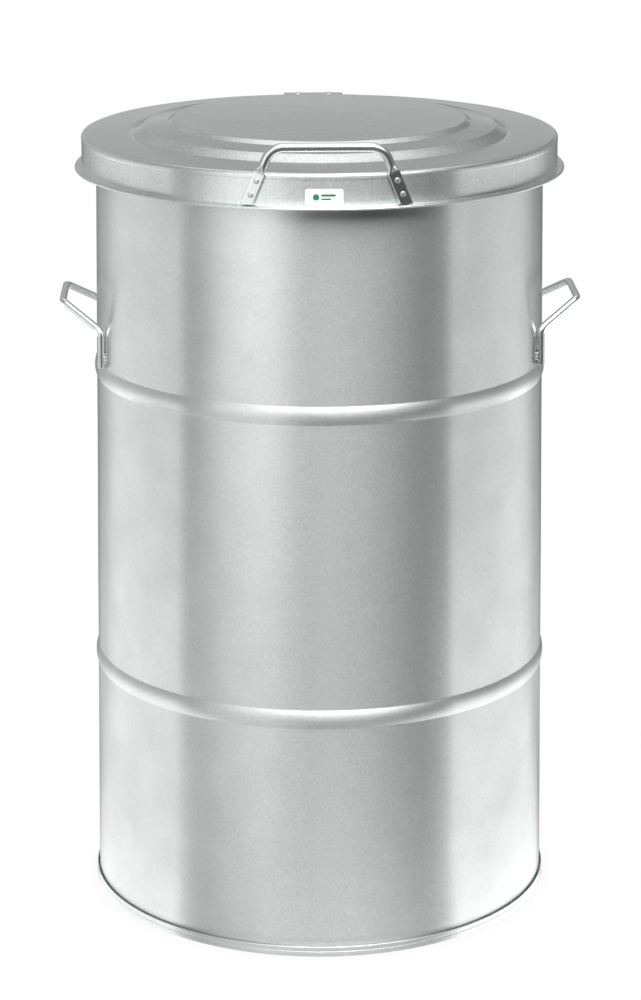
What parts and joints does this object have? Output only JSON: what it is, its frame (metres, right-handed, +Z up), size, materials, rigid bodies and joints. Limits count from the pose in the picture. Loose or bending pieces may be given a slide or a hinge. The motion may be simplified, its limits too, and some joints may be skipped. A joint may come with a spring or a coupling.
{
  "type": "lidded waste can",
  "caption": "Round galvanised steel waste can with pressed hoops, two carrying handles and a rear-hinged stepped lid with a front handle.",
  "frame": {"origin": "on the floor under the can, on the axis of its round body", "axes": "+Z up along the body's axis, -Y towards the lid handle, +Y towards the hinge, X through the carrying handles"},
  "size_m": [0.58, 0.5492, 0.8756],
  "materials": {
    "body_sheet": "galvanised sheet, satin",
    "lid_sheet": "galvanised sheet, satin",
    "rod": "bright zinc-plated rod",
    "hinge": "zinc-plated strip",
    "rivet": "dull",
    "label": "white film label"
  },
  "bodies": {
    "can": {"body_shell": "body_sheet", "base_pan": "body_sheet", "top_rim_wire": "rod", "left_side_handle": "rod", "right_side_handle": "rod", "hinge_body_leaf": "hinge", "hinge_pin": "hinge", "body_leaf_rivet_lower_left": "rivet", "body_leaf_rivet_lower_right": "rivet", "body_leaf_rivet_upper_left": "rivet", "body_leaf_rivet_upper_right": "rivet"},
    "lid": {"lid_shell": "lid_sheet", "lid_handle": "rod", "handle_rivet_left_upper": "rivet", "handle_rivet_left_lower": "rivet", "handle_rivet_right_upper": "rivet", "handle_rivet_right_lower": "rivet", "lid_label": "label", "hinge_lid_leaf": "hinge", "lid_leaf_rivet_left": "rivet", "lid_leaf_rivet_right": "rivet"}
  },
  "joints": [
    {"name": "lid_hinge", "type": "hinge", "parent": "can", "child": "lid", "pos_m": [0, 0.2711, 0.797], "axis": [-1, 0, 0], "range_deg": [0, 105]}
  ]
}
